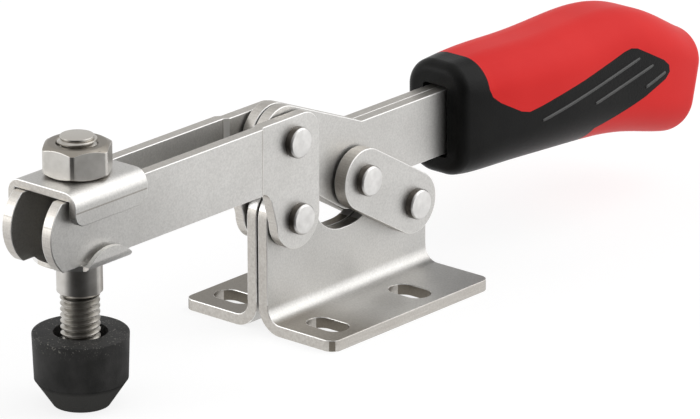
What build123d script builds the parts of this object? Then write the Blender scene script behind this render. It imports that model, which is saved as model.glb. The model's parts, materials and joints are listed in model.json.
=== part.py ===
from build123d import *
import os
from math import acos, atan2, cos, hypot, radians, sin, sqrt, tan

# Horizontal toggle clamp with an open arm, closed and locked.
# Millimetres. X runs across the clamp, Y along it towards the handle, Z up.
# The origin is the centre of the four base slots, on the underside of the feet.

os.makedirs("parts", exist_ok=True)

# ---------------------------------------------------------------- driving sizes
sheet = 2.5                   # base, arm and lever plates
link_sheet = 3.0
web_gap = 0.5                 # between the two upright base webs
post_clearance = 0.6          # lever bar above the rear post of the base
valley_floor = 16.8           # height of the hollow between the two posts
valley_radius = 9.5
valley_run = 17.3             # arm pivot to the centre of the hollow's front curve
valley_lip = 3.5              # rounding of the rear post beside the hollow
lobe_room = 0.75              # behind the lever's lobe

foot_length = 50.0
foot_width = 40.8             # both feet, across the clamp
foot_corner = 2.3
base_bend = 3.2               # inner radius of the fold between foot and web
slot_pitch_across = 25.4
slot_pitch_along = 25.8
slot_width = 5.8
slot_length = 9.8
slot_edge = 7.3               # front edge of the feet to the front row of slots

arm_pivot_height = 24.25
arm_post_radius = 6.3
crank = 16.7                  # arm pivot to lever pivot
crank_lean = 0.85              # how far the lever pivot stands in front of the arm pivot
link_pivot_height = 17.75
link_pivot_edge = 7.4         # rear edge of the feet to the link's lower pivot
link_centres = 18.1
over_centre = 0.35            # how far the middle pivot has passed the dead line

arm_height = 14.3
arm_top_margin = 5.5          # lever pivot to the arm's top edge
arm_lobe_radius = 6.5
arm_rear_corner = 4.6
arm_shoulder_run = 2.3        # in front of the pivot lobe, where it meets the bar
arm_shoulder_radius = 3.4
arm_slot_gap = 8.2            # between the arm plates, where the spindle stands
arm_joggle = 0.8              # each plate steps in by this much at the pivots
arm_joggle_run = 1.0
arm_joggle_bend = 0.3         # rounding of the joggle's corners
arm_joggle_at = 11.6          # in front of the arm pivot
arm_nose_bulge = 3.4          # how far the front end is arched
spindle_reach = 59.0          # arm pivot to spindle
arm_overhang = 14.9           # spindle to the arm's front tip

lever_nose_radius = 6.8
lever_lobe_radius = 7.0
lever_bar_height = 14.2
lever_bar_lift = 4.1          # middle pivot to the middle of the bar
lever_kink_at = 2.9           # middle pivot to the kink in the lever's top edge
lever_kink_radius = 1.2
lever_spread_at = 1.5         # in front of the lobe, where the plates start to part
lever_joggle = 0.2            # each plate steps out by this much at its nose
lever_joggle_run = 3.0
tang_length = 52.0            # how far the lever reaches into the grip
tang_room = 0.5               # left behind the lever's end

link_radius = 6.6
rivet_shank = 5.0
rivet_head = 6.5
rivet_head_height = 1.8
rivet_edge = 0.35

thread = 8.0
nut_across_flats = 13.0
nut_height = 6.5
nut_across_corners = 14.6     # its corners are a little rounded
nut_crown = 0.45              # radius of the nut's flat faces as a share of its width
nut_mouth = 0.4               # chamfer of the thread's mouths
nut_turn = 4.6                # degrees from a corner pointing straight across
spindle_tip = 1.4             # above the nut
spindle_head = 11.0
spindle_head_height = 6.0
cap_diameter = 19.6
cap_height = 15.2
cap_taper = 0.35              # how much its side leans in, on the way down
cap_foot_diameter = 11.5
cap_cone = 5.5
cap_socket_depth = 8.8
cap_edge = 0.35
saddle_sheet = 1.8
saddle_gap = 0.7              # between the arm and the saddle's sides
saddle_bend = 1.2             # inner radius, which rides on the arm's upper corners
saddle_length = 20.8
saddle_skirt = 6.9
saddle_corner = 2.6
washer_sheet = 1.0
washer_radius = 9.3
washer_gap = 1.1              # between the arm and the washer's ears
washer_bend = 0.8             # inner radius
washer_rise = 2.9             # ears above the washer's upper face
sleeve_diameter = 9.3
sleeve_length = 7.6
sleeve_chamfer = 0.5
thread_chamfer = 0.7
shim = 0.3                    # thin washers at the pivots
arm_washer_step = 0.8         # how far each washer's rim stays inside its plate's
lever_washer_step = 0.5
link_washer_step = 1.2

grip_start = 36.0             # along Y
grip_length = 81.2
grip_front_radius = 2.5
grip_rear_radius = 4.0
grip_rear_slope = 17.5        # degrees the rear face leans, its foot forwards
grip_core_cover = 2.0         # the soft part under the lever, inside the grip
grip_wall = 3.0               # depth of the soft inlays in the sides
grip_collar = 14.0            # the front of the grip that is soft right through
grip_pocket_depth = 2.0
grip_pocket_margin = 0.8

running = 0.05                # radial clearance of a pin in its hole
side_play = 0.1               # flat faces that slide past each other
past = 1.0                    # how far a cutting profile runs past what it cuts

# ---------------------------------------------------------------- derived places
foot_front = -slot_pitch_along / 2 - slot_edge
foot_rear = foot_front + foot_length
web_face = web_gap / 2 + sheet

arm_pivot = (foot_front + arm_post_radius, arm_pivot_height)
lever_pivot = (arm_pivot[0] - crank_lean, arm_pivot[1] + sqrt(crank**2 - crank_lean**2))
link_pivot = (foot_rear - link_pivot_edge, link_pivot_height)
dead_run = (lever_pivot[0] - link_pivot[0], lever_pivot[1] - link_pivot[1])
dead_length = hypot(*dead_run)
dead_line = (dead_run[0] / dead_length, dead_run[1] / dead_length)
middle_pivot = (
    link_pivot[0] + dead_line[0] * link_centres - dead_line[1] * over_centre,
    link_pivot[1] + dead_line[1] * link_centres + dead_line[0] * over_centre,
)

arm_rear = arm_pivot[0] + arm_lobe_radius
arm_top = lever_pivot[1] + arm_top_margin
arm_bottom = arm_top - arm_height
arm_inner = arm_slot_gap / 2
arm_outer = arm_inner + sheet
arm_rear_inner = arm_inner - arm_joggle
arm_rear_outer = arm_rear_inner + sheet
spindle_y = arm_pivot[0] - spindle_reach
arm_front = spindle_y - arm_overhang

bar_middle = middle_pivot[1] + lever_bar_lift
bar_top = bar_middle + lever_bar_height / 2
bar_bottom = bar_middle - lever_bar_height / 2
kink = (middle_pivot[0] + lever_kink_at, bar_top)
tang_end = grip_start + tang_length

post_top = bar_bottom - post_clearance
link_inner = web_face + shim + 2 * running
link_outer = link_inner + link_sheet

cap_rim = cap_height
saddle_inner = arm_outer + saddle_gap
saddle_outer = saddle_inner + saddle_sheet
saddle_reach = max(saddle_bend - saddle_gap, 0)
saddle_base = arm_top + saddle_bend - sqrt(saddle_bend**2 - saddle_reach**2) + running
saddle_top = saddle_base + saddle_sheet
nut_top = saddle_top + nut_height
spindle_top = nut_top + spindle_tip
washer_top = arm_bottom - running
sleeve_top = washer_top - washer_sheet
grip_end = grip_start + grip_length

hole = rivet_shank / 2 + running


def tangent_from(point, centre, radius):
    """Upper point where a line from a point touches a circle, in the side view."""
    reach = hypot(point[0] - centre[0], point[1] - centre[1])
    heading = atan2(point[1] - centre[1], point[0] - centre[0]) + acos(radius / reach)
    return (centre[0] + radius * cos(heading), centre[1] + radius * sin(heading))


def side(x):
    """Side-view plane at x: its own axes are Y and Z, and it extrudes towards +X."""
    return Plane.YZ.offset(x)


# ---------------------------------------------------------------- base plates
valley_height = valley_floor + valley_radius
valley_half = sqrt(valley_radius**2 - (valley_height - post_top) ** 2)
valley_front = arm_pivot[0] + valley_run
valley_back = middle_pivot[0] + lever_lobe_radius + lobe_room
valley_rear = valley_back - valley_half

with BuildPart() as base_plate_near:
    with BuildSketch(Plane.XZ.offset(-foot_front)) as fold:
        with BuildLine():
            Polyline(
                (web_gap / 2, 0),
                (foot_width / 2, 0),
                (foot_width / 2, sheet),
                (web_face, sheet),
                (web_face, arm_pivot[1] + arm_post_radius),
                (web_gap / 2, arm_pivot[1] + arm_post_radius),
                close=True,
            )
        make_face()
        inner_bend = fold.vertices().sort_by_distance((web_face, sheet))[0]
        fillet(inner_bend, base_bend)
        outer_bend = fold.vertices().sort_by_distance((web_gap / 2, 0))[0]
        fillet(outer_bend, base_bend + sheet)
    extrude(amount=-foot_length)
    with BuildSketch(side(0)) as web:
        with Locations(((foot_front + foot_rear) / 2, 0)):
            Rectangle(foot_length, post_top, align=(Align.CENTER, Align.MIN))
        fillet(web.vertices().sort_by_distance((foot_rear, post_top))[0], arm_post_radius)
        with Locations((arm_pivot[0], 0)):
            Rectangle(2 * arm_post_radius, arm_pivot[1], align=(Align.CENTER, Align.MIN))
        with Locations(arm_pivot):
            Circle(arm_post_radius)
        with Locations((valley_front, valley_height), (valley_rear, valley_height)):
            Circle(valley_radius, mode=Mode.SUBTRACT)
        with Locations(((valley_front + valley_rear) / 2, valley_height)):
            Rectangle(valley_rear - valley_front, 2 * valley_radius, mode=Mode.SUBTRACT)
        fillet(web.vertices().sort_by_distance((valley_back, post_top))[0], valley_lip)
        with Locations(arm_pivot, link_pivot):
            Circle(hole, mode=Mode.SUBTRACT)
    extrude(amount=foot_width / 2, mode=Mode.INTERSECT)
    foot_corners = base_plate_near.edges().filter_by(Axis.Z).group_by(Axis.X)[-1]
    fillet(foot_corners, foot_corner)
    with BuildSketch():
        with Locations(
            (slot_pitch_across / 2, -slot_pitch_along / 2),
            (slot_pitch_across / 2, slot_pitch_along / 2),
        ):
            SlotOverall(slot_length, slot_width)
    extrude(amount=sheet, mode=Mode.SUBTRACT)
base_plate_near.part.label = "base_plate_near"
export_step(base_plate_near.part, "parts/base_plate_near.step")

with BuildPart() as base_plate_far:
    mirror(base_plate_near.part, about=Plane.YZ)
base_plate_far.part.label = "base_plate_far"
export_step(base_plate_far.part, "parts/base_plate_far.step")

# ---------------------------------------------------------------- clamping arm
arm_shoulder = arm_pivot[0] - arm_lobe_radius - arm_shoulder_run

with BuildPart() as arm_plate_near:
    with BuildSketch(side(0)) as arm_outline:
        nose_corner = arm_front + arm_nose_bulge
        with BuildLine():
            Line((arm_rear, arm_bottom), (nose_corner, arm_bottom))
            ThreePointArc(
                (nose_corner, arm_bottom),
                (arm_front, (arm_bottom + arm_top) / 2),
                (nose_corner, arm_top),
            )
            Line((nose_corner, arm_top), (arm_rear, arm_top))
            Line((arm_rear, arm_top), (arm_rear, arm_bottom))
        make_face()
        rear_top = arm_outline.vertices().sort_by_distance((arm_rear, arm_top))[0]
        fillet(rear_top, arm_rear_corner)
        with BuildLine():
            Polyline(
                (arm_rear, arm_pivot[1]),
                (arm_rear, arm_bottom + past),
                (arm_shoulder, arm_bottom + past),
                (arm_shoulder, arm_bottom),
                (arm_pivot[0] - arm_lobe_radius, arm_pivot[1]),
                close=True,
            )
        make_face()
        with Locations(arm_pivot):
            Circle(arm_lobe_radius)
        shoulder = arm_outline.vertices().sort_by_distance((arm_shoulder, arm_bottom))[0]
        fillet(shoulder, arm_shoulder_radius)
        with Locations(arm_pivot, lever_pivot):
            Circle(hole, mode=Mode.SUBTRACT)
    extrude(amount=arm_outer + past)
    joggle_front = arm_pivot[0] - arm_joggle_at
    joggle_rear = joggle_front + arm_joggle_run
    with BuildSketch() as arm_plan:
        with BuildLine():
            Polyline(
                (arm_inner, arm_front - past),
                (arm_inner, joggle_front),
                (arm_rear_inner, joggle_rear),
                (arm_rear_inner, arm_rear + past),
                (arm_rear_outer, arm_rear + past),
                (arm_rear_outer, joggle_rear),
                (arm_outer, joggle_front),
                (arm_outer, arm_front - past),
                close=True,
            )
        make_face()
        bend_zone = (joggle_front - running, joggle_rear + running)
        joggle_corners = arm_plan.vertices().filter_by_position(Axis.Y, *bend_zone)
        fillet(joggle_corners, arm_joggle_bend)
    extrude(amount=arm_top + past, mode=Mode.INTERSECT)
arm_plate_near.part.label = "arm_plate_near"
export_step(arm_plate_near.part, "parts/arm_plate_near.step")

with BuildPart() as arm_plate_far:
    mirror(arm_plate_near.part, about=Plane.YZ)
arm_plate_far.part.label = "arm_plate_far"
export_step(arm_plate_far.part, "parts/arm_plate_far.step")

# ---------------------------------------------------------------- hand lever
with BuildPart() as lever_plate_near:
    with BuildSketch(side(0)) as lever_outline:
        with Locations(lever_pivot):
            Circle(lever_nose_radius)
        with Locations(middle_pivot):
            Circle(lever_lobe_radius)
        make_hull()
        with BuildLine():
            Polyline(
                lever_pivot,
                tangent_from(kink, lever_pivot, lever_nose_radius),
                kink,
                middle_pivot,
                close=True,
            )
        make_face()
        with Locations((middle_pivot[0], bar_middle)):
            Rectangle(
                tang_end - middle_pivot[0],
                lever_bar_height,
                align=(Align.MIN, Align.CENTER),
            )
        kink_corner = lever_outline.vertices().sort_by_distance(kink)[0]
        fillet(kink_corner, lever_kink_radius)
        with Locations(lever_pivot, middle_pivot):
            Circle(hole, mode=Mode.SUBTRACT)
    extrude(amount=2 * sheet)
    spread_rear = middle_pivot[0] - lever_lobe_radius - lever_spread_at
    spread_front = spread_rear - lever_joggle_run
    nose_front = lever_pivot[0] - lever_nose_radius - past
    with BuildSketch():
        with BuildLine():
            Polyline(
                (0, tang_end + past),
                (0, spread_rear),
                (lever_joggle, spread_front),
                (lever_joggle, nose_front),
                (lever_joggle + sheet, nose_front),
                (lever_joggle + sheet, spread_front),
                (sheet, spread_rear),
                (sheet, tang_end + past),
                close=True,
            )
        make_face()
    extrude(amount=arm_top + arm_height, mode=Mode.INTERSECT)
lever_plate_near.part.label = "lever_plate_near"
export_step(lever_plate_near.part, "parts/lever_plate_near.step")

with BuildPart() as lever_plate_far:
    mirror(lever_plate_near.part, about=Plane.YZ)
lever_plate_far.part.label = "lever_plate_far"
export_step(lever_plate_far.part, "parts/lever_plate_far.step")

# ---------------------------------------------------------------- links
with BuildPart() as link_near:
    with BuildSketch(side(link_inner)):
        with Locations(middle_pivot, link_pivot):
            Circle(link_radius)
        make_hull()
        with Locations(middle_pivot, link_pivot):
            Circle(hole, mode=Mode.SUBTRACT)
    extrude(amount=link_sheet)
link_near.part.label = "link_near"
export_step(link_near.part, "parts/link_near.step")

with BuildPart() as link_far:
    mirror(link_near.part, about=Plane.YZ)
link_far.part.label = "link_far"
export_step(link_far.part, "parts/link_far.step")


# ---------------------------------------------------------------- rivets
def rivet_profile(x, grip_face):
    """Half section of a rivet end: shank from x outwards and a flat head on grip_face."""
    shank = rivet_shank / 2
    head = rivet_head / 2
    head_top = grip_face + rivet_head_height
    Polyline(
        (x, 0),
        (x, shank),
        (grip_face, shank),
        (grip_face, head),
        (head_top - rivet_edge, head),
        (head_top, head - rivet_edge),
        (head_top, 0),
        close=True,
    )


arm_rivet_seat = arm_rear_outer + running
link_rivet_seat = link_outer + running

with BuildPart() as arm_pivot_rivet:
    with BuildSketch(Plane((0, *arm_pivot))):
        with BuildLine():
            rivet_profile(0, arm_rivet_seat)
        make_face()
    revolve(axis=Axis((0, *arm_pivot), (1, 0, 0)))
    mirror(about=Plane.YZ)
arm_pivot_rivet.part.label = "arm_pivot_rivet"
export_step(arm_pivot_rivet.part, "parts/arm_pivot_rivet.step")

with BuildPart() as lever_pivot_rivet:
    with BuildSketch(Plane((0, *lever_pivot))):
        with BuildLine():
            rivet_profile(0, arm_rivet_seat)
        make_face()
    revolve(axis=Axis((0, *lever_pivot), (1, 0, 0)))
    mirror(about=Plane.YZ)
lever_pivot_rivet.part.label = "lever_pivot_rivet"
export_step(lever_pivot_rivet.part, "parts/lever_pivot_rivet.step")

with BuildPart() as link_base_rivet:
    with BuildSketch(Plane((0, *link_pivot))):
        with BuildLine():
            rivet_profile(0, link_rivet_seat)
        make_face()
    revolve(axis=Axis((0, *link_pivot), (1, 0, 0)))
    mirror(about=Plane.YZ)
link_base_rivet.part.label = "link_base_rivet"
export_step(link_base_rivet.part, "parts/link_base_rivet.step")

# The middle pivot has a rivet end in each link, ending beside the lever plates.
with BuildPart() as link_lever_rivets:
    with BuildSketch(Plane((0, *middle_pivot))):
        with BuildLine():
            rivet_profile(link_inner, link_rivet_seat)
        make_face()
    revolve(axis=Axis((0, *middle_pivot), (1, 0, 0)))
    mirror(about=Plane.YZ)
link_lever_rivets.part.label = "link_lever_rivets"
export_step(link_lever_rivets.part, "parts/link_lever_rivets.step")


# ---------------------------------------------------------------- pivot washers
def ring_at(centre, x, radius):
    """A flat ring round a pivot, its inner face at x."""
    with BuildSketch(side(x)) as ring:
        with Locations(centre):
            Circle(radius)
            Circle(hole, mode=Mode.SUBTRACT)
    return ring.sketch


arm_shim = arm_rear_inner - web_face - 2 * side_play
lever_shim = arm_rear_inner - sheet - lever_joggle - 2 * side_play

with BuildPart() as arm_pivot_washers:
    extrude(ring_at(arm_pivot, web_face + side_play, arm_post_radius - arm_washer_step), amount=arm_shim)
    mirror(about=Plane.YZ)
arm_pivot_washers.part.label = "arm_pivot_washers"
export_step(arm_pivot_washers.part, "parts/arm_pivot_washers.step")

with BuildPart() as lever_pivot_washers:
    lever_face = sheet + lever_joggle
    extrude(ring_at(lever_pivot, lever_face + side_play, arm_top_margin - lever_washer_step), amount=lever_shim)
    mirror(about=Plane.YZ)
lever_pivot_washers.part.label = "lever_pivot_washers"
export_step(lever_pivot_washers.part, "parts/lever_pivot_washers.step")

with BuildPart() as link_base_washers:
    extrude(ring_at(link_pivot, web_face + running, link_radius - link_washer_step), amount=shim)
    mirror(about=Plane.YZ)
link_base_washers.part.label = "link_base_washers"
export_step(link_base_washers.part, "parts/link_base_washers.step")

# ---------------------------------------------------------------- spindle and its fittings
spindle_axis = Axis((0, spindle_y, 0), (0, 0, 1))
spindle_plane = Plane(origin=(0, spindle_y, 0), x_dir=(1, 0, 0), z_dir=(0, -1, 0))
socket_floor = cap_rim - cap_socket_depth
head_top = socket_floor + spindle_head_height

with BuildPart() as spindle:
    with BuildSketch(spindle_plane):
        with BuildLine():
            Polyline(
                (0, socket_floor),
                (spindle_head / 2, socket_floor),
                (spindle_head / 2, head_top),
                (thread / 2, head_top),
                (thread / 2, spindle_top - thread_chamfer),
                (thread / 2 - thread_chamfer, spindle_top),
                (0, spindle_top),
                close=True,
            )
        make_face()
    revolve(axis=spindle_axis)
spindle.part.label = "spindle"
export_step(spindle.part, "parts/spindle.step")

with BuildPart() as rubber_cap:
    with BuildSketch(spindle_plane) as cap_section:
        with BuildLine():
            Polyline(
                (0, 0),
                (cap_foot_diameter / 2, 0),
                (cap_diameter / 2 - cap_taper, cap_cone),
                (cap_diameter / 2, cap_rim),
                (spindle_head / 2, cap_rim),
                (spindle_head / 2, socket_floor),
                (0, socket_floor),
                close=True,
            )
        make_face()
    revolve(axis=spindle_axis)
    rim_edge = rubber_cap.edges().filter_by(GeomType.CIRCLE).group_by(Axis.Z)[-1].sort_by(SortBy.RADIUS)[-1]
    fillet(rim_edge, cap_edge)
rubber_cap.part.label = "rubber_cap"
export_step(rubber_cap.part, "parts/rubber_cap.step")

with BuildPart() as saddle_washer:
    with BuildSketch(Plane.XZ.offset(-spindle_y + saddle_length / 2)) as saddle_section:
        with BuildLine():
            Polyline(
                (-saddle_outer, saddle_top - saddle_skirt),
                (-saddle_outer, saddle_top),
                (saddle_outer, saddle_top),
                (saddle_outer, saddle_top - saddle_skirt),
                (saddle_inner, saddle_top - saddle_skirt),
                (saddle_inner, saddle_base),
                (-saddle_inner, saddle_base),
                (-saddle_inner, saddle_top - saddle_skirt),
                close=True,
            )
        make_face()
        upper_levels = saddle_section.vertices().group_by(Axis.Y)
        fillet(upper_levels[-1], saddle_bend + saddle_sheet)
        fillet(upper_levels[-2], saddle_bend)
    extrude(amount=-saddle_length)
    skirt_corners = saddle_washer.edges().filter_by(Axis.X).group_by(Axis.Z)[0]
    fillet(skirt_corners, saddle_corner)
    with BuildSketch(Plane.XY.offset(arm_bottom)):
        with Locations((0, spindle_y)):
            Circle(thread / 2 + running)
    extrude(amount=arm_height + nut_height, mode=Mode.SUBTRACT)
saddle_washer.part.label = "saddle_washer"
export_step(saddle_washer.part, "parts/saddle_washer.step")

washer_base = washer_top - washer_sheet
ear_inner = arm_outer + washer_gap
ear_outer = ear_inner + washer_sheet
ear_top = washer_top + washer_rise
ear_half = sqrt(washer_radius**2 - (ear_inner - washer_bend) ** 2)
ear_arc = (ear_half**2 + washer_rise**2) / (2 * washer_rise)

with BuildPart() as lower_washer:
    with BuildSketch(Plane.XZ.offset(-spindle_y + washer_radius)) as washer_section:
        with BuildLine():
            Polyline(
                (-ear_outer, ear_top),
                (-ear_outer, washer_base),
                (ear_outer, washer_base),
                (ear_outer, ear_top),
                (ear_inner, ear_top),
                (ear_inner, washer_top),
                (-ear_inner, washer_top),
                (-ear_inner, ear_top),
                close=True,
            )
        make_face()
        fillet(washer_section.vertices().group_by(Axis.Y)[1], washer_bend)
        fillet(washer_section.vertices().group_by(Axis.Y)[0], washer_bend + washer_sheet)
    extrude(amount=-2 * washer_radius)
    with BuildSketch(Plane.XY.offset(washer_base)):
        with Locations((0, spindle_y)):
            Circle(washer_radius)
            Rectangle(2 * ear_outer, 2 * ear_half)
            Circle(thread / 2 + running, mode=Mode.SUBTRACT)
    extrude(amount=washer_sheet + washer_rise, mode=Mode.INTERSECT)
    with BuildSketch(side(-ear_outer)):
        with Locations((spindle_y, ear_top - ear_arc)):
            Circle(ear_arc)
        with Locations((spindle_y, washer_top)):
            Rectangle(
                2 * washer_radius,
                washer_rise,
                align=(Align.CENTER, Align.MIN),
                mode=Mode.INTERSECT,
            )
        with Locations((spindle_y, washer_top)):
            Rectangle(2 * washer_radius, washer_sheet, align=(Align.CENTER, Align.MAX))
    extrude(amount=2 * ear_outer, mode=Mode.INTERSECT)
lower_washer.part.label = "lower_washer"
export_step(lower_washer.part, "parts/lower_washer.step")

with BuildPart() as spindle_sleeve:
    with BuildSketch(Plane.XY.offset(sleeve_top - sleeve_length)):
        with Locations((0, spindle_y)):
            Circle(sleeve_diameter / 2)
    extrude(amount=sleeve_length)
    chamfer(spindle_sleeve.edges().group_by(Axis.Z)[0], sleeve_chamfer)
    with BuildSketch(Plane.XY.offset(sleeve_top - sleeve_length)):
        with Locations((0, spindle_y)):
            Circle(thread / 2 + running)
    extrude(amount=sleeve_length, mode=Mode.SUBTRACT)
spindle_sleeve.part.label = "spindle_sleeve"
export_step(spindle_sleeve.part, "parts/spindle_sleeve.step")

with BuildPart() as hex_nut:
    nut_corner = nut_across_flats / sqrt(3)
    with BuildSketch(Plane.XY.offset(saddle_top)):
        with Locations((0, spindle_y)):
            RegularPolygon(nut_corner, 6, rotation=nut_turn)
    extrude(amount=nut_height)
    with BuildSketch(spindle_plane):
        with BuildLine():
            crown = nut_across_corners / 2 - nut_across_flats * nut_crown
            crown_fall = crown * tan(radians(30))
            Polyline(
                (0, saddle_top),
                (nut_across_corners / 2 - crown, saddle_top),
                (nut_across_corners / 2, saddle_top + crown_fall),
                (nut_across_corners / 2, nut_top - crown_fall),
                (nut_across_corners / 2 - crown, nut_top),
                (0, nut_top),
                close=True,
            )
        make_face()
    revolve(axis=spindle_axis, mode=Mode.INTERSECT)
    with BuildSketch(Plane.XY.offset(saddle_top)):
        with Locations((0, spindle_y)):
            Circle(thread / 2 + running)
    extrude(amount=nut_height, mode=Mode.SUBTRACT)
    mouths = hex_nut.edges().filter_by(GeomType.CIRCLE)
    mouths = mouths.filter_by(lambda edge: abs(edge.radius - thread / 2 - running) < 0.01)
    chamfer(mouths, nut_mouth)
hex_nut.part.label = "hex_nut"
export_step(hex_nut.part, "parts/hex_nut.step")

# ---------------------------------------------------------------- grip
# Sections across the grip: share of its length, underside and top from the bar's
# middle, and half width.
grip_sections = (
    (0.00, -11.7, 12.7, 7.6),
    (0.10, -12.7, 12.7, 9.4),
    (0.29, -13.3, 12.3, 10.8),
    (0.56, -14.8, 12.5, 11.3),
    (0.68, -16.3, 11.9, 11.3),
    (0.79, -18.5, 9.3, 11.3),
    (0.89, -20.5, 5.1, 10.8),
    (1.00, -20.8, 0.7, 9.2),
)
grip_corner = 0.78            # corner radius as a share of the smaller half size

with BuildPart() as grip_form:
    for share, low, high, half_width in grip_sections:
        station = Plane.XZ.offset(-grip_start - share * grip_length)
        height = high - low
        with BuildSketch(station):
            with Locations((0, bar_middle + (low + high) / 2)):
                RectangleRounded(2 * half_width, height, grip_corner * min(half_width, height / 2))
    loft()
    rear_top = (0, grip_end, bar_middle + grip_sections[-1][2])
    rear_normal = (0, cos(radians(grip_rear_slope)), -sin(radians(grip_rear_slope)))
    split(bisect_by=Plane(rear_top, x_dir=(1, 0, 0), z_dir=rear_normal), keep=Keep.BOTTOM)
    fillet(grip_form.faces().sort_by(Axis.Y)[0].edges(), grip_front_radius)
    fillet(grip_form.faces().sort_by(Axis.Y)[-1].edges(), grip_rear_radius)

with BuildPart() as grip_whole:
    add(grip_form.part)
    with BuildSketch(Plane.XZ.offset(-grip_start)):
        with Locations((0, bar_middle)):
            Rectangle(2 * sheet + 2 * running, lever_bar_height + 2 * running)
    extrude(amount=-(tang_length + tang_room), mode=Mode.SUBTRACT)
    with BuildSketch(Plane.XZ.offset(-grip_start)):
        with Locations((0, bar_middle)):
            pocket_width = 2 * (sheet + grip_pocket_margin)
            pocket_height = lever_bar_height + 2 * grip_pocket_margin
            RectangleRounded(pocket_width, pocket_height, grip_pocket_margin)
    extrude(amount=-grip_pocket_depth, mode=Mode.SUBTRACT)

# Side view of the soft part: a collar at the front and a long leaf on each side.
# Points as distance behind the grip's front and height from the bar's middle.
soft_outline = (
    (7.0, 16.0),
    (7.0, 6.8),
    (7.8, 5.0),
    (10.1, 3.2),
    (16.2, -0.1),
    (18.7, -0.8),
    (22.7, -0.3),
    (35.9, 2.0),
    (49.4, 4.9),
    (51.9, 5.1),
    (54.0, 4.6),
    (63.0, -0.2),
    (64.9, -1.8),
    (65.2, -3.4),
    (63.8, -4.7),
    (56.7, -7.0),
    (50.1, -8.4),
    (41.0, -10.4),
    (36.5, -18.0),
    (-1.0, -18.0),
    (-1.0, 16.0),
)
grip_widest = max(half_width for _, _, _, half_width in grip_sections)
core_half = grip_widest - grip_wall
core_floor = bar_bottom - grip_core_cover
core_height = 2 * lever_bar_height + grip_wall

with BuildPart() as grip_soft:
    with BuildSketch(side(-grip_length / 2)) as soft_side:
        with BuildLine():
            Polyline(*[(grip_start + y, bar_middle + z) for y, z in soft_outline], close=True)
        make_face()
    extrude(amount=grip_length)
    add(grip_whole.part, mode=Mode.INTERSECT)
    with BuildSketch(side(-core_half)):
        with Locations((grip_start + grip_collar, core_floor)):
            Rectangle(grip_length, core_height, align=(Align.MIN, Align.MIN))
    extrude(amount=2 * core_half, mode=Mode.SUBTRACT)
grip_soft.part.label = "grip_soft"
export_step(grip_soft.part, "parts/grip_soft.step")

with BuildPart() as grip_body:
    add(grip_whole.part)
    add(grip_soft.part, mode=Mode.SUBTRACT)
grip_body.part.label = "grip_body"
export_step(grip_body.part, "parts/grip_body.step")
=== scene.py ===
# %% [markdown]
# # A horizontal toggle clamp
# The clamp is bent and stamped from bead-blasted stainless sheet, riveted into an
# over-centre linkage, and carries a moulded two-colour grip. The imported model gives
# every plate its true place, so this file adds what a solid alone can't show: cut
# threads, rubbed-down edges, moulded ribs, the different finishes of faces and sheared
# edges, and light.

# %% Load the frame
import bmesh
import bpy
import json
from math import pi, radians
from mathutils import Matrix, Vector
from mathutils.bvhtree import BVHTree


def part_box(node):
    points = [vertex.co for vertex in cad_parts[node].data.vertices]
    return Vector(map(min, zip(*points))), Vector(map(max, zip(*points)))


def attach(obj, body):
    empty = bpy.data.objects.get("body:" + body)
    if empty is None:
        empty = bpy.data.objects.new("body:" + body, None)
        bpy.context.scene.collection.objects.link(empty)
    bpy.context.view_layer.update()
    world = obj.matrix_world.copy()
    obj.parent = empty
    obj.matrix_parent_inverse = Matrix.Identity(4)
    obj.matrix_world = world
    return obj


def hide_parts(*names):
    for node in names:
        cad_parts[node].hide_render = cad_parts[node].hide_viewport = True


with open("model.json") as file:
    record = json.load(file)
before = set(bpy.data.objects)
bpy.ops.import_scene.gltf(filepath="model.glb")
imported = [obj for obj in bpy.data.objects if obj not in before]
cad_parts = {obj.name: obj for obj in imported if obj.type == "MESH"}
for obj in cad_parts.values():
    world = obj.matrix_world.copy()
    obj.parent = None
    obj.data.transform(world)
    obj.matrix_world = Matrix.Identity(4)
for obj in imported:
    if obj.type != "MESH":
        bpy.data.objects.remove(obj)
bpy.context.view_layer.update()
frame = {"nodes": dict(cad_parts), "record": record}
nodes = frame["nodes"]
MM = 0.001
scene = bpy.context.scene
scene.view_settings.view_transform = "Standard"
body_of = {
    node: body
    for body, members in frame["record"]["behaviour"]["bodies"].items()
    for node in members
}

# %% [markdown]
# ## Camera
# A product shot of a small clamp is taken from far away with a long lens, which keeps
# parallel plates nearly parallel. The camera is turned about the vertical, tipped
# down, and rolled by a hair, and the three turns are multiplied in that order.

# %% Camera
camera_place = Vector((0.83125, -0.95052, 0.46917))
camera_turn = radians(40.9097)
camera_tip = radians(90 - 19.5435)
camera_roll = radians(-0.208)
camera_data = bpy.data.cameras.new("camera")
camera_data.sensor_width = 36.0
camera_data.lens = 334.74
camera_data.clip_end = 20.0
camera = bpy.data.objects.new("camera", camera_data)
scene.collection.objects.link(camera)
camera.matrix_world = (
    Matrix.Translation(camera_place)
    @ Matrix.Rotation(camera_turn, 4, "Z")
    @ Matrix.Rotation(camera_tip, 4, "X")
    @ Matrix.Rotation(camera_roll, 4, "Z")
)
scene.camera = camera
print("camera: %.0f mm lens" % camera_data.lens)


# %% [markdown]
# ## Node helpers
# Materials and the world are both small graphs of nodes, so the same few helpers build
# them all. Each takes the graph first, accepts sockets or plain numbers, and returns
# the socket that carries its result.

# %% Node helpers
def new_node(tree, kind, **settings):
    node = tree.nodes.new(kind)
    for name, value in settings.items():
        setattr(node, name, value)
    return node


def join(tree, source, target):
    """Link a socket to another, or write a plain value on it."""
    if isinstance(source, bpy.types.NodeSocket):
        tree.links.new(source, target)
    else:
        target.default_value = source


def maths(tree, operation, *values):
    node = new_node(tree, "ShaderNodeMath", operation=operation)
    for value, socket in zip(values, node.inputs):
        join(tree, value, socket)
    return node.outputs[0]


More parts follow.
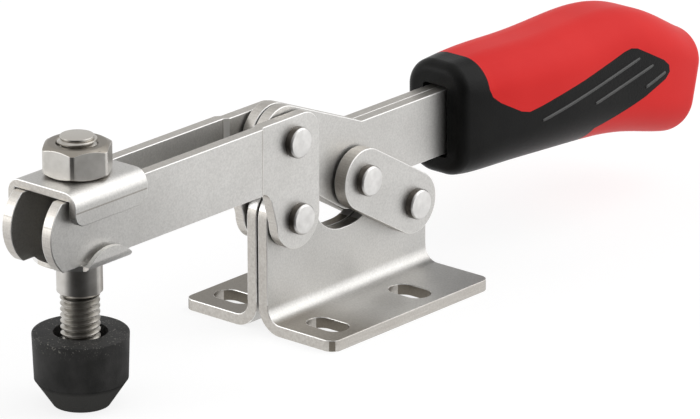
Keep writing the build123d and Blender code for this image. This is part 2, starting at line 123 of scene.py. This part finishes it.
def remap(tree, value, low, high, to_low=0.0, to_high=1.0, ease="LINEAR"):
    node = new_node(tree, "ShaderNodeMapRange", interpolation_type=ease)
    limits = {"From Min": low, "From Max": high, "To Min": to_low, "To Max": to_high}
    for name, number in limits.items():
        node.inputs[name].default_value = number
    join(tree, value, node.inputs["Value"])
    return node.outputs["Result"]


def vector_maths(tree, operation, first, second=None, output="Vector"):
    node = new_node(tree, "ShaderNodeVectorMath", operation=operation)
    join(tree, first, node.inputs[0])
    if second is not None:
        join(tree, second, node.inputs[1])
    return node.outputs[output]


# %% [markdown]
# ## Light and floor
# Blasted steel has no sharp reflections, so it needs large, soft lamps. What gives
# bright metal its form is what it mirrors: white all round, one dim zone in front,
# where the dark side of the studio is, and a paler one high at the back. Without them a
# nut or a sleeve looks like grey plastic, and the tops of the plates burn out. Only
# reflected rays see these zones, so the picture's background stays white.

# %% Dim sides of the studio
front = Vector((0.655, -0.756, 0.0))
back = Vector((-0.45, 0.71, 0.54))


def dim_zone(tree, direction, centre, edge, middle, least):
    """Full brightness past the zone's edge, easing to the least at its middle."""
    share = vector_maths(tree, "DOT_PRODUCT", direction, centre, "Value")
    return remap(tree, share, edge, middle, 1.0, least, "SMOOTHSTEP")


def seen_directly(tree, rays):
    camera_ray, through_ray = rays.outputs["Is Camera Ray"], rays.outputs["Is Transmission Ray"]
    return maths(tree, "MAXIMUM", camera_ray, through_ray)


# %% World
world = bpy.data.worlds.new("studio")
scene.world = world
world.use_nodes = True
air = world.node_tree
sky = air.nodes["Background"]
sky.inputs["Color"].default_value = (1, 1, 1, 1)
sky_fill = 0.62
rays = new_node(air, "ShaderNodeLightPath")
glossy_ray = rays.outputs["Is Glossy Ray"]
direction = new_node(air, "ShaderNodeTexCoord").outputs["Generated"]
front_zone = dim_zone(air, direction, front, edge=0.45, middle=0.90, least=0.14)
back_zone = dim_zone(air, direction, back, edge=0.72, middle=0.94, least=0.68)
dim = maths(air, "MULTIPLY", front_zone, back_zone)
mirrored = maths(air, "MULTIPLY", glossy_ray, dim)
seen = seen_directly(air, rays)
shown = maths(air, "MAXIMUM", seen, mirrored)
unseen = maths(air, "SUBTRACT", 1.0, maths(air, "MAXIMUM", seen, glossy_ray))
join(air, maths(air, "MULTIPLY_ADD", unseen, sky_fill, shown), sky.inputs["Strength"])
print("world: white, with two dim zones in its reflections")


# %% Lamps
def soft_lamp(name, place, size, power, aim=(0, 0.01, 0.03)):
    data = bpy.data.lights.new(name, "AREA")
    data.shape = "DISK"
    data.size = size
    data.energy = power
    lamp = bpy.data.objects.new(name, data)
    scene.collection.objects.link(lamp)
    turn = (Vector(aim) - Vector(place)).to_track_quat("-Z", "Y")
    lamp.matrix_world = Matrix.Translation(place) @ turn.to_matrix().to_4x4()


soft_lamp("front_left", (-0.8, -1.1, 0.45), size=0.9, power=4.0)
soft_lamp("side", (1.0, 0.75, 0.5), size=1.1, power=3.4)
soft_lamp("top", (0.45, 0.8, 1.0), size=1.3, power=4.8)
print("lamps:", len(bpy.data.lights))

# %% [markdown]
# The floor is white acrylic. Most of its white is its own glow, shown to the camera and
# to reflections, so shadows and coloured light on it stay pale. In front of the clamp
# its reflection fades as the world's does, and darkest of all is a patch beside it,
# which the arm's broad side mirrors. Close to the feet the floor stays bright, or their
# front edges would go black.

# %% Floor sheet
floor_mesh = bmesh.new()
bmesh.ops.create_grid(floor_mesh, x_segments=1, y_segments=1, size=3.0)
floor_data = bpy.data.meshes.new("floor")
floor_mesh.to_mesh(floor_data)
floor_mesh.free()
floor = bpy.data.objects.new("floor", floor_data)
scene.collection.objects.link(floor)
print("floor: 6 m across")

# %% Floor finish
floor_white = 0.26
floor_glow = 0.8
floor_bounce = 0.5
dark_side = Vector((0.45, -0.89, 0.0))
dark_patch = Vector((95 * MM, -25 * MM, 0.0))
patch_middle, patch_edge, patch_least = 15 * MM, 68 * MM, 0.25
close_inside, close_outside = 34 * MM, 60 * MM
acrylic = bpy.data.materials.new("acrylic")
acrylic.use_nodes = True
sheet = acrylic.node_tree
shader = sheet.nodes["Principled BSDF"]
shader.inputs["Base Color"].default_value = (floor_white, floor_white, floor_white, 1)
shader.inputs["Roughness"].default_value = 0.9
shader.inputs["Specular IOR Level"].default_value = 0.0
shader.inputs["Emission Color"].default_value = (1, 1, 1, 1)
rays = new_node(sheet, "ShaderNodeLightPath")
glossy_ray = rays.outputs["Is Glossy Ray"]
spot = new_node(sheet, "ShaderNodeTexCoord").outputs["Object"]
outwards = vector_maths(sheet, "NORMALIZE", spot)
from_patch = vector_maths(sheet, "DISTANCE", spot, dark_patch, "Value")
from_clamp = vector_maths(sheet, "LENGTH", spot, output="Value")
zone = dim_zone(sheet, outwards, dark_side, edge=0.66, middle=0.95, least=0.05)
patch = remap(sheet, from_patch, patch_middle, patch_edge, patch_least, 1.0, "SMOOTHSTEP")
close = remap(sheet, from_clamp, close_inside, close_outside, 1.0, 0.0)
bright = maths(sheet, "MAXIMUM", maths(sheet, "MULTIPLY", zone, patch), close)
mirrored = maths(sheet, "MULTIPLY", glossy_ray, bright)
seen = seen_directly(sheet, rays)
shown = maths(sheet, "MULTIPLY", maths(sheet, "MAXIMUM", seen, mirrored), floor_glow)
# The glow also lights the clamp from below: painted light, standing in for light bounced off
# the floor.
bounced = maths(sheet, "MULTIPLY", rays.outputs["Is Diffuse Ray"], floor_bounce)
join(sheet, maths(sheet, "MAXIMUM", shown, bounced), shader.inputs["Emission Strength"])
unlit = new_node(sheet, "ShaderNodeBsdfDiffuse")
unlit.inputs["Color"].default_value = (0.02, 0.02, 0.02, 1)
choose = new_node(sheet, "ShaderNodeMixShader")
dark = maths(sheet, "SUBTRACT", 1.0, bright)
join(sheet, maths(sheet, "MULTIPLY", dark, glossy_ray), choose.inputs[0])
join(sheet, shader.outputs[0], choose.inputs[1])
join(sheet, unlit.outputs[0], choose.inputs[2])
join(sheet, choose.outputs[0], sheet.nodes["Material Output"].inputs["Surface"])
floor_data.materials.append(acrylic)
print("floor: white acrylic")


# %% [markdown]
# ## Building materials
# Each finish is one Principled shader fed by a few more helpers: a noise on the
# object's own coordinates, a colour that drifts with a noise, a colour blend, and a
# bump. The noises are scaled in repeats per metre, so 3000 gives a grain of a third of
# a millimetre.

# %% Material helpers
def finish(name, metallic=0.0, roughness=0.5):
    paint = bpy.data.materials.new(name)
    paint.use_nodes = True
    shader = paint.node_tree.nodes["Principled BSDF"]
    shader.inputs["Metallic"].default_value = metallic
    shader.inputs["Roughness"].default_value = roughness
    return paint, paint.node_tree, shader


def grain(tree, repeats, detail=2.0, stretch=(1, 1, 1)):
    place = new_node(tree, "ShaderNodeTexCoord")
    mapping = new_node(tree, "ShaderNodeMapping")
    mapping.inputs["Scale"].default_value = stretch
    noise = new_node(tree, "ShaderNodeTexNoise")
    noise.inputs["Scale"].default_value = repeats
    noise.inputs["Detail"].default_value = detail
    join(tree, place.outputs["Object"], mapping.inputs["Vector"])
    join(tree, mapping.outputs["Vector"], noise.inputs["Vector"])
    return noise.outputs["Fac"]


def blend(tree, share, first, second, kind="MIX"):
    node = new_node(tree, "ShaderNodeMix", data_type="RGBA", blend_type=kind)
    join(tree, share, node.inputs["Factor"])
    for socket, value in ((node.inputs["A"], first), (node.inputs["B"], second)):
        join(tree, (*value, 1) if isinstance(value, tuple) else value, socket)
    return node.outputs["Result"]


def drift(tree, noise, first, second, low=0.3, high=0.7):
    """A colour that wanders from the first to the second as the noise rises."""
    return blend(tree, remap(tree, noise, low, high), first, second)


def bump(tree, height, depth, strength, normal=None):
    node = new_node(tree, "ShaderNodeBump")
    node.inputs["Strength"].default_value = strength
    node.inputs["Distance"].default_value = depth
    join(tree, height, node.inputs["Height"])
    if normal is not None:
        join(tree, normal, node.inputs["Normal"])
    return node.outputs["Normal"]


def places(tree):
    """The spot on the piece, and how far its surface faces each axis, 0 to 1."""
    place = new_node(tree, "ShaderNodeTexCoord")
    spot = new_node(tree, "ShaderNodeSeparateXYZ")
    facing = new_node(tree, "ShaderNodeSeparateXYZ")
    join(tree, place.outputs["Object"], spot.inputs[0])
    join(tree, place.outputs["Normal"], facing.inputs[0])
    return list(spot.outputs), [maths(tree, "ABSOLUTE", axis) for axis in facing.outputs]


# %% [markdown]
# ## Masks
# A finish that changes over a piece needs a mask, a number from 0 to 1 at each spot.
# These pieces mostly lie square to the frame's axes, so sums on the spot's place and
# on the way the surface points are enough, and no piece has to be unwrapped. Two masks
# that both have to hold are multiplied, and the larger of two serves for either.

# %% Mask helpers
def above(tree, value, limit):
    return maths(tree, "GREATER_THAN", value, limit)


def below(tree, value, limit):
    return maths(tree, "LESS_THAN", value, limit)


def both(tree, first, second):
    return maths(tree, "MULTIPLY", first, second)


def either(tree, first, second):
    return maths(tree, "MAXIMUM", first, second)


def between(tree, value, low, high):
    return both(tree, above(tree, value, low), below(tree, value, high))


def band(tree, value, middle, half_width):
    return between(tree, value, middle - half_width, middle + half_width)


# %% [markdown]
# ## Bead-blasted sheet with sheared edges
# Blasting leaves the broad faces an even, fine grey with a tight sparkle. The edges
# were sheared in the press: they are warmer, and lightly streaked across the sheet.
# Plates that stand upright have their faces across the clamp. The base is folded, so
# its edges are looked for separately on the web above the fold and on the foot below.

# %% Edge masks
fold_top = 6.2 * MM
fold_reach = 6.3 * MM


def upright_edge(tree, spot, facing):
    return below(tree, facing[0], 0.6)


def channel_edge(tree, spot, facing):
    return above(tree, facing[1], 0.6)


def folded_edge(tree, spot, facing):
    web = both(tree, above(tree, spot[2], fold_top), upright_edge(tree, spot, facing))
    ends = above(tree, facing[1], 0.5)
    outside = above(tree, maths(tree, "ABSOLUTE", spot[0]), fold_reach)
    walls = both(tree, outside, below(tree, facing[2], 0.5))
    return either(tree, web, either(tree, ends, walls))


# %% [markdown]
# The rims between faces and edges are painted near white: a painted highlight, the thin
# bright line that light draws along each rounded edge. They are the narrow rounds, so
# they point neither along an axis nor square to it.

# %% Rim masks
def upright_rim(tree, spot, facing):
    return between(tree, facing[0], 0.25, 0.975)


def end_rim(tree, spot, facing):
    return between(tree, facing[1], 0.3, 0.95)


def folded_rim(tree, spot, facing):
    web = both(tree, above(tree, spot[2], fold_top), upright_rim(tree, spot, facing))
    foot = both(tree, above(tree, facing[2], 0.25), end_rim(tree, spot, facing))
    return either(tree, web, foot)


# %% [markdown]
# Pressing leaves steps and creases, and their shade is painted on as thin dark lines:
# one across the arm where it steps inwards, one across each edge of its nose, and one
# along the saddle's skirt. The walls of the punched slots are painted dark, and the
# feet's rounded corners too, as a painted reflection of the studio's dim side. The far
# foot's upward faces are painted a darker brown as painted shade, and the near foot's
# front is painted a darker brown too, up into the low part of its fold, where it is
# painted shade.

# %% Marks on arm and saddle
line_half_width = 0.16 * MM
nose_line_half_width = 0.13 * MM
joggle_line = -25.58 * MM
nose_line = 42.0 * MM
nose_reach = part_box("arm_plate_near")[0][1] + 3 * MM
skirt_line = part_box("saddle_washer")[0][2] + 3.0 * MM


# Painted shade: thin dark lines at the arm's step and across the nose's edges.
def arm_step_shade(tree, spot, facing):
    joggle = band(tree, spot[1], joggle_line, line_half_width)
    on_face = both(tree, joggle, above(tree, facing[0], 0.5))
    nose = both(tree, below(tree, spot[1], nose_reach), below(tree, facing[0], 0.9))
    on_nose = both(tree, band(tree, spot[2], nose_line, nose_line_half_width), nose)
    return either(tree, on_face, on_nose)


# Painted shade: a thin dark line along the skirt's crease.
def skirt_crease_shade(tree, spot, facing):
    crease = band(tree, spot[2], skirt_line, line_half_width)
    return both(tree, crease, above(tree, facing[0], 0.8))


print("crease of the skirt at %.1f mm" % (skirt_line / MM))


# %% Marks on the base
slot_middle = 12.7 * MM
slot_half_width = 3.4 * MM
slot_reach = 18.4 * MM
foot_thickness = 2.5 * MM
darkening_full = -14 * MM
darkening_end = 2 * MM


# Painted dark: the slot walls, and the feet's rounded corners as a painted reflection of the
# studio's dim side.
def dark_slots_and_corners(tree, spot, facing):
    across = band(tree, maths(tree, "ABSOLUTE", spot[0]), slot_middle, slot_half_width)
    along = below(tree, maths(tree, "ABSOLUTE", spot[1]), slot_reach)
    slots = both(tree, below(tree, facing[2], 0.5), both(tree, across, along))
    rounded = between(tree, facing[0], 0.45, 0.86)
    corners = both(tree, rounded, below(tree, facing[2], 0.2))
    low = below(tree, spot[2], foot_thickness)
    return either(tree, slots, both(tree, corners, low))


# Painted shade: darker brown on the far foot's top and on the near foot's low fold; the near
# foot's front is browned as well.
def darker_feet(tree, spot, facing):
    front = remap(tree, spot[1], darkening_full, darkening_end, 1.0, 0.0, "SMOOTHSTEP")
    far = below(tree, spot[0], 0.0)
    top = remap(tree, facing[2], 0.75, 0.97)
    return both(tree, top, either(tree, front, far))


# %% Sheet finish
blasted_dark, blasted_light = (0.60, 0.59, 0.57), (0.67, 0.66, 0.64)
sheared_dark, sheared_light = (0.56, 0.53, 0.49), (0.63, 0.605, 0.565)
# Painted highlight: the near-white colour of the rounded rims.
rim_highlight = (0.86, 0.85, 0.83)
cloud_repeats = 70
sparkle_repeats = 2500
pit_repeats = 3600
pit_depth = 0.03 * MM
streak_depth = 0.01 * MM
face_roughness = 0.46
edge_smoothing = -0.07


def sheet_steel(name, edge_mask, rim_mask, streak, shade=1.0, marks=()):
    paint, tree, shader = finish(name, metallic=1.0)
    spot, facing = places(tree)
    edge = edge_mask(tree, spot, facing)
    face = drift(tree, grain(tree, cloud_repeats, 3.0), blasted_dark, blasted_light)
    streaks = remap(tree, grain(tree, 1.0, 3.0, streak), 0.35, 0.65)
    cut = blend(tree, streaks, sheared_dark, sheared_light)
    steel = blend(tree, edge, face, cut)
    for mark, colour in marks:
        steel = blend(tree, mark(tree, spot, facing), steel, colour)
    sparkle = grain(tree, sparkle_repeats, 1.0)
    sparkle = remap(tree, sparkle, 0.3, 0.7, 0.92 * shade, 1.06 * shade)
    grey = new_node(tree, "ShaderNodeCombineColor")
    for socket in grey.inputs:
        join(tree, sparkle, socket)
    steel = blend(tree, 1.0, steel, grey.outputs[0], "MULTIPLY")
    rim = rim_mask(tree, spot, facing)
    # The rims are painted near white, a painted highlight.
    join(tree, blend(tree, rim, steel, rim_highlight), shader.inputs["Base Color"])
    pitted = bump(tree, grain(tree, pit_repeats, 1.0), pit_depth, 0.45)
    streaked = bump(tree, streaks, streak_depth, 0.3, pitted)
    join(tree, streaked, shader.inputs["Normal"])
    roughness = maths(tree, "MULTIPLY_ADD", edge, edge_smoothing, face_roughness)
    join(tree, roughness, shader.inputs["Roughness"])
    return paint


# %% [markdown]
# One recipe gives five finishes. The streaks on a sheared edge are a noise drawn out
# one way, by giving it a small scale along that axis: across the clamp on the upright
# plates, and along it on the base, the saddle and the lower washer.

# %% Five sheet finishes
# Painted shade: the dark lines at steps and creases.
crease_shade = (0.42, 0.40, 0.37)
# Dark for the slot walls, and a painted reflection on the feet's rounded corners.
slot_and_corner_dark = (0.20, 0.18, 0.15)
# Darker brown of the feet: painted shade on the far foot and on the low part of the fold.
darker_foot_brown = (0.34, 0.315, 0.28)
plate_streak = (120, 3500, 3500)
base_streak = (1800, 120, 1800)
washer_streak = (1500, 300, 1500)
plate_steel = sheet_steel(
    "plate_steel", upright_edge, upright_rim, plate_streak, marks=[(arm_step_shade, crease_shade)]
)
# The lever and link get the plate finish darkened to 0.94: painted shade, where they sit
# between the arm plates.
shaded_lever_steel = sheet_steel("shaded_lever_steel", upright_edge, upright_rim, plate_streak, shade=0.94)
base_steel = sheet_steel(
    "base_steel",
    folded_edge,
    folded_rim,
    base_streak,
    shade=0.88,
    marks=[(darker_feet, darker_foot_brown), (dark_slots_and_corners, slot_and_corner_dark)],
)
ear_steel = sheet_steel("ear_steel", channel_edge, end_rim, washer_streak, shade=1.22)
washer_steel = sheet_steel(
    "washer_steel", channel_edge, end_rim, washer_streak, marks=[(skirt_crease_shade, crease_shade)]
)
print("five sheet finishes")


# %% [markdown]
# ## Turned steel
# Rivets, sleeve and nut are turned or pressed from bar: smoother than the sheet, with
# a faint mottle from handling. What points upwards, such as the nut's crown, can be
# given another colour. The rivets' flat ends were blasted with the plates, and their side
# walls are painted near black, as painted shade and a painted reflection of the plate.

# %% Turned steel
turned_repeats = 2600
turned_depth = 0.03 * MM


def turned_steel(name, dark, light, roughness, top=None, top_from=0.5):
    paint, tree, shader = finish(name, metallic=1.0, roughness=roughness)
    steel = drift(tree, grain(tree, 420, 4.0), dark, light, 0.35, 0.65)
    if top:
        facing = places(tree)[1]
        upwards = remap(tree, facing[2], top_from, top_from + 0.1)
        steel = blend(tree, upwards, steel, top)
    join(tree, steel, shader.inputs["Base Color"])
    fine = bump(tree, grain(tree, turned_repeats), turned_depth, 0.3)
    join(tree, fine, shader.inputs["Normal"])
    return paint


def rivet_finish():
    paint, tree, shader = finish("rivet_steel", metallic=1.0, roughness=0.4)
    facing = places(tree)[1]
    mottle = grain(tree, 500, 4.0)
    end = drift(tree, mottle, (0.66, 0.65, 0.635), (0.77, 0.76, 0.745), 0.35, 0.65)
    # Painted shade: the side walls are near black, for their shade and their dark reflection of
    # the plate.
    shaded_wall = drift(tree, mottle, (0.09, 0.08, 0.07), (0.16, 0.145, 0.13), 0.35, 0.65)
    flat = remap(tree, facing[0], 0.35, 0.75)
    join(tree, blend(tree, flat, shaded_wall, end), shader.inputs["Base Color"])
    fine = bump(tree, grain(tree, turned_repeats), turned_depth, 0.35)
    join(tree, fine, shader.inputs["Normal"])
    return paint


rivet_steel = rivet_finish()
nut_crown = (0.30, 0.275, 0.24)
nut_steel = turned_steel(
    "nut_steel", (0.58, 0.56, 0.525), (0.67, 0.65, 0.615), 0.36, top=nut_crown
)
sleeve_steel = turned_steel("sleeve_steel", (0.52, 0.50, 0.47), (0.62, 0.60, 0.57), 0.32)
print("turned finishes ready")

# %% [markdown]
# ## Rubbed-down edges
# Tumbling takes the burr off every stamped edge and leaves a tiny round that catches
# the light as a bright line. The solids have knife edges there. A copy of each node is
# merged and its flat faces joined, and then the bevel operator rounds what is still
# sharp. Shading breaks at any turn of more than 15 degrees, so the broad faces stay
# flat right up to the round and the folds keep their crisp lines.

# %% Rounded copies
merge_distance = 0.002 * MM
flat_angle = radians(0.6)
crease_angle = radians(15)


def round_edges(name, width, paint, sharp=35):
    mesh = bmesh.new()
    mesh.from_mesh(nodes[name].data)
    bmesh.ops.remove_doubles(mesh, verts=mesh.verts, dist=merge_distance)
    bmesh.ops.dissolve_limit(mesh, angle_limit=flat_angle, verts=mesh.verts, edges=mesh.edges)
    whole = [e for e in mesh.edges if e.is_manifold]
    edges = [e for e in whole if e.calc_face_angle() > radians(sharp)]
    bmesh.ops.bevel(
        mesh,
        geom=edges,
        offset=width,
        offset_type="OFFSET",
        affect="EDGES",
        segments=2,
        profile=0.5,
        material=-1,
        loop_slide=False,
        clamp_overlap=False,
    )
    bmesh.ops.recalc_face_normals(mesh, faces=mesh.faces)
    data = bpy.data.meshes.new(name + "_rounded")
    mesh.to_mesh(data)
    mesh.free()
    data.materials.append(paint)
    data.shade_smooth()
    data.set_sharp_from_angle(angle=crease_angle)
    piece = bpy.data.objects.new(name + "_rounded", data)
    scene.collection.objects.link(piece)
    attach(piece, body_of[name])
    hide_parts(name)
    return len(edges)


# %% Round the plates
plate_round = 0.16 * MM
finish_of = {
    "arm_plate": plate_steel,
    "lever_plate": shaded_lever_steel,
    "link": shaded_lever_steel,
    "base_plate": base_steel,
}
for side in ("near", "far"):
    for part, steel in finish_of.items():
        count = round_edges(f"{part}_{side}", plate_round, steel)
        print(part, side, "edges rounded:", count)
print("saddle", round_edges("saddle_washer", plate_round, washer_steel))

# %% Round the rivets and the nut
rivet_round = 0.12 * MM
rivets = ("arm_pivot_rivet", "lever_pivot_rivet", "link_base_rivet", "link_lever_rivets")
for part in rivets:
    print(part, round_edges(part, rivet_round, rivet_steel, sharp=25))
print("hex_nut", round_edges("hex_nut", rivet_round, nut_steel, sharp=20))

# %% [markdown]
# The spacers and the sleeve have hardly an edge in sight. The lower washer's ears do
# show, but the bevel operator left spikes on it. So all of them keep the solids' own
# meshes and only get their finishes.

# %% Pieces that keep their mesh
def paint_node(name, paint):
    nodes[name].material_slots[0].material = paint


paint_node("lower_washer", ear_steel)
for part in ("arm_pivot_washers", "lever_pivot_washers", "link_base_washers"):
    paint_node(part, rivet_steel)
paint_node("spindle_sleeve", sleeve_steel)
print("washers and sleeve painted")

# %% [markdown]
# ## The threaded spindle
# A screw thread is a saw-tooth profile carried round and up by one pitch a turn. The
# spin operator does just that: a whole zigzag line is turned once about the axis and
# rises by one pitch on the way, so its end meets the next tooth of its start. The
# doubled seam is merged, both ends are cut off flat and filled.

# %% Spindle sizes
low, high = (Vector(corner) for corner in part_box("spindle"))
axis = (low + high) / 2
thread_radius = 4.0 * MM
root_radius = 3.32 * MM
pitch = 1.25 * MM
tip_radius = 3.45 * MM
tip_height = 0.65 * MM
tip_round = 0.18 * MM
flange_radius = 4.35 * MM
flange_height = 0.5 * MM
foot_radius = (high.x - low.x) / 2
foot_top = low.z + 6.0 * MM
flange_low = low.z + 6.2 * MM
turn_steps = 48
print("spindle: %.1f mm tall" % ((high.z - low.z) / MM))


# %% Thread
def grow(mesh, verts, offset):
    made = bmesh.ops.extrude_vert_indiv(mesh, verts=verts)
    bmesh.ops.translate(mesh, verts=made["verts"], vec=offset)
    return made["verts"]


thread_top = high.z - tip_height
thread_low = foot_top - 0.2 * MM
thread = bmesh.new()
first = (axis.x + root_radius, axis.y, foot_top - 2 * pitch)
tip = bmesh.ops.create_vert(thread, co=first)["vert"]
crest = pitch / 8
slope = (pitch - 2 * crest) / 2
rise = thread_radius - root_radius
spare_turns = 4
turns = round((high.z - foot_top) / pitch) + spare_turns
for turn in range(turns):
    for step in ((rise, 0, slope), (0, 0, crest), (-rise, 0, slope), (0, 0, crest)):
        tip = grow(thread, tip, step)
bmesh.ops.spin(
    thread,
    geom=thread.verts[:] + thread.edges[:],
    cent=(axis.x, axis.y, 0),
    axis=(0, 0, 1),
    dvec=(0, 0, pitch / turn_steps),
    angle=2 * pi,
    steps=turn_steps,
    use_merge=False,
)
bmesh.ops.remove_doubles(thread, verts=thread.verts, dist=0.01 * MM)
for height, up in ((thread_low, -1), (thread_top, 1)):
    cut = bmesh.ops.bisect_plane(
        thread,
        geom=thread.verts[:] + thread.edges[:] + thread.faces[:],
        plane_co=(0, 0, height),
        plane_no=(0, 0, up),
        clear_outer=True,
    )
    rim = [e for e in cut["geom_cut"] if isinstance(e, bmesh.types.BMEdge)]
    bmesh.ops.edgeloop_fill(thread, edges=rim)
print("thread:", len(thread.faces), "faces")


# %% [markdown]
# The rod's end is faced off to a small round disc above the last turn, a plain ring
# ends the thread at the bottom, and below it a flat head keeps the rod in the rubber
# cap. Each is a cone with both ends alike, so a short cylinder, with bevelled rims.

# %% Tip, ring and head
def disc(mesh, radius, bottom, top, edge_round):
    made = bmesh.ops.create_cone(
        mesh,
        cap_ends=True,
        segments=64,
        radius1=radius,
        radius2=radius,
        depth=top - bottom,
        matrix=Matrix.Translation((axis.x, axis.y, (top + bottom) / 2)),
    )
    rims = {e for v in made["verts"] for e in v.link_edges if e.calc_face_angle(0) > 1.0}
    bmesh.ops.bevel(
        mesh,
        geom=list(rims),
        offset=edge_round,
        affect="EDGES",
        segments=3,
        profile=0.5,
        material=-1,
    )


tip_low = thread_top - 0.02 * MM
disc(thread, tip_radius, tip_low, high.z, edge_round=tip_round)
disc(thread, flange_radius, flange_low, flange_low + flange_height, edge_round=0.15 * MM)
disc(thread, foot_radius, low.z, foot_top, edge_round=0.3 * MM)
print("tip, ring and head added:", len(thread.faces), "faces")

# %% [markdown]
# Ready meshes all become pieces in one way: normals out, shaded smooth but for sharp
# turns, and riding on the body they belong to. The rod's finish is a turned steel that
# is paler where it was faced off.

# %% Spindle piece
def add_piece(name, mesh, paint, body, smooth):
    bmesh.ops.recalc_face_normals(mesh, faces=mesh.faces)
    data = bpy.data.meshes.new(name)
    mesh.to_mesh(data)
    mesh.free()
    piece = bpy.data.objects.new(name, data)
    scene.collection.objects.link(piece)
    data.materials.append(paint)
    data.shade_smooth()
    data.set_sharp_from_angle(angle=radians(smooth))
    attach(piece, body)
    return piece


faced_tip = (0.64, 0.61, 0.56)
thread_steel = turned_steel(
    "thread_steel", (0.40, 0.38, 0.345), (0.54, 0.52, 0.485), 0.3, top=faced_tip, top_from=0.89
)
spindle = add_piece("threaded_spindle", thread, thread_steel, "spindle", smooth=25)
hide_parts("spindle")
print("spindle replaces the plain rod")

# %% [markdown]
# ## Rubber cap
# The cap is moulded rubber: matt, near black, with a bloom of pale specks on its rim.
# Its foot is painted slightly paler, partly its own greyer tone and partly painted light,
# for the light that the floor throws up onto it. Both fade in with height, so two more
# remapped heights serve as their masks.

# %% Rubber
rim_low, rim_high = 12.2 * MM, 15.0 * MM
foot_high, foot_low = 5.4 * MM, 4.4 * MM
rubber, tree, shader = finish("cap_rubber", roughness=0.62)
spot = places(tree)[0]
dark = drift(tree, grain(tree, 300, 4.0), (0.020, 0.020, 0.019), (0.036, 0.035, 0.034))
# Partly painted light: the paler foot stands in for light thrown up from the floor.
foot = remap(tree, spot[2], foot_high, foot_low)
dark = blend(tree, foot, dark, (0.052, 0.051, 0.048))
specks = remap(tree, grain(tree, 2600), 0.62, 0.72)
specks = both(tree, specks, remap(tree, spot[2], rim_low, rim_high))
join(tree, blend(tree, specks, dark, (0.20, 0.19, 0.17)), shader.inputs["Base Color"])
skin = bump(tree, grain(tree, 2400, 3.0), 0.08 * MM, 0.5)
join(tree, skin, shader.inputs["Normal"])
shader.inputs["Specular IOR Level"].default_value = 0.3
paint_node("rubber_cap", rubber)
print("rubber on the cap")

# %% [markdown]
# ## Two-colour grip
# The red body is a hard, satin moulding with the faintest orange peel. The black part
# is softer and finely textured, like fine sandpaper. Its ribs are painted a little paler
# than the rest, a painted highlight for the light their raised edges catch.

# %% Grip finishes
def moulding(name, roughness, specular, drifting, texture):
    """Drifting is repeats, detail and two colours; texture is repeats, detail,
    depth and strength."""
    paint, tree, shader = finish(name, roughness=roughness)
    repeats, detail, first, second = drifting
    colour = drift(tree, grain(tree, repeats, detail), first, second)
    join(tree, colour, shader.inputs["Base Color"])
    repeats, detail, depth, strength = texture
    skin = bump(tree, grain(tree, repeats, detail), depth, strength)
    join(tree, skin, shader.inputs["Normal"])
    shader.inputs["Specular IOR Level"].default_value = specular
    return paint


reds = (0.72, 0.027, 0.026), (0.77, 0.034, 0.032)
blacks = (0.0035, 0.0035, 0.0035), (0.0075, 0.0075, 0.007)
# Painted highlight: the ribs' paler black.
rib_sheen_blacks = (0.012, 0.012, 0.012), (0.035, 0.035, 0.034)
red = moulding("grip_red", 0.44, 0.09, (60, 2.0, *reds), (2200, 2.0, 0.04 * MM, 0.25))
black = moulding("grip_black", 0.36, 0.11, (120, 3.0, *blacks), (3400, 2.0, 0.08 * MM, 0.7))
rib_sheen = moulding("rib_black", 0.36, 0.5, (400, 3.0, *rib_sheen_blacks), (3400, 2.0, 0.05 * MM, 0.5))
paint_node("grip_body", red)
paint_node("grip_soft", black)
print("grip finishes ready")

# %% [markdown]
# ## Finger ribs
# Three low ribs are moulded into the soft leaf on each side of the grip. Each follows
# the curved side, so its line is drawn in side view and dropped onto the surface with
# a ray, and a round curve bevel sunk into the side leaves a low ridge standing. The
# ribs thin out towards both ends. Each line is a curve that three points pull on,
# given in millimetres behind the grip's front end and above the lever's middle.

# %% Ribs
grip_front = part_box("grip_soft")[0][1]
lever_middle = 31.13 * MM
rib_radius = 0.42 * MM
rib_sink = 0.17 * MM
rib_lines = (
    ((22.7, -3.7), (36.3, -1.6), (54.7, 2.2)),
    ((39.8, -4.2), (49.5, -2.5), (59.3, -0.5)),
    ((56.9, -4.9), (60.2, -4.1), (63.6, -3.1)),
)
rib_steps = 24
ray_start = 40 * MM
shell = bmesh.new()
shell.from_mesh(nodes["grip_soft"].data)
surface = BVHTree.FromBMesh(shell)
ribs = []
for side, side_name in ((1, "near"), (-1, "far")):
    for number, line in enumerate(rib_lines, 1):
        curve = bpy.data.curves.new("rib", "CURVE")
        curve.dimensions = "3D"
        curve.bevel_depth = rib_radius
        curve.bevel_resolution = 4
        curve.use_fill_caps = True
        path = curve.splines.new("POLY")
        path.points.add(rib_steps)
        for step, point in enumerate(path.points):
            t = step / rib_steps
            pulls = [(1 - t) * (1 - t), 2 * t * (1 - t), t * t]
            y, z = (sum(k * p[i] for k, p in zip(pulls, line)) for i in range(2))
            start = Vector((side * ray_start, grip_front + y * MM, lever_middle + z * MM))
            hit = surface.ray_cast(start, Vector((-side, 0, 0)))[0]
            point.co = (hit.x - side * rib_sink, hit.y, hit.z, 1)
            point.radius = min(1.0, 0.75 + 6 * t * (1 - t))
        drawn = bpy.data.objects.new("rib", curve)
        solid = bmesh.new()
        solid.from_mesh(drawn.to_mesh())
        name = f"finger_rib_{number}_{side_name}"
        rib = add_piece(name, solid, rib_sheen, "handle", smooth=60)
        drawn.to_mesh_clear()
        bpy.data.objects.remove(drawn)
        ribs.append(rib)
shell.free()
print("ribs:", len(ribs))
